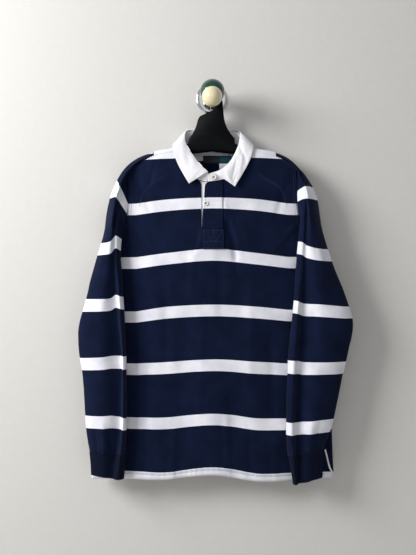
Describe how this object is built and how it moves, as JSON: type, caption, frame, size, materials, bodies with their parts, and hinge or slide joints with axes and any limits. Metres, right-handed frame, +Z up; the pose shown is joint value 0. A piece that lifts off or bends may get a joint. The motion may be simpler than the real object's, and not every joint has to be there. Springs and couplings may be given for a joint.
{
  "type": "rugby shirt on a hanger and wall hook",
  "caption": "Long-sleeved striped rugby shirt with a white collar, hung on a moulded hanger from a round wall hook with ball ends.",
  "frame": {"origin": "centre of the wall plate's back face, on the wall", "axes": "+Z up, +Y into the wall, +X to the right of someone who faces the wall"},
  "size_m": [0.6495, 0.15, 0.9509],
  "materials": {
    "navy": "matte",
    "white": "matte",
    "rib": "matte",
    "label": "matte",
    "rubber": "matte",
    "black": "satin",
    "chrome": "polished",
    "green": "gloss",
    "cream": "gloss"
  },
  "bodies": {
    "root": {"front": "navy", "back": "navy", "sleeve_left": "navy", "sleeve_right": "navy", "cuff_left": "rib", "cuff_right": "rib", "neckband": "white", "collar": "white", "placket_over": "navy", "placket_under": "white", "throat_patch": "navy", "button_neck": "rubber", "button_placket": "rubber", "neck_tape": "white", "label": "label", "care_tag": "white", "hanger": "black", "wall_plate": "chrome", "arm_upper": "chrome", "arm_lower": "chrome", "ball_green": "green", "ball_cream": "cream"}
  },
  "joints": []
}
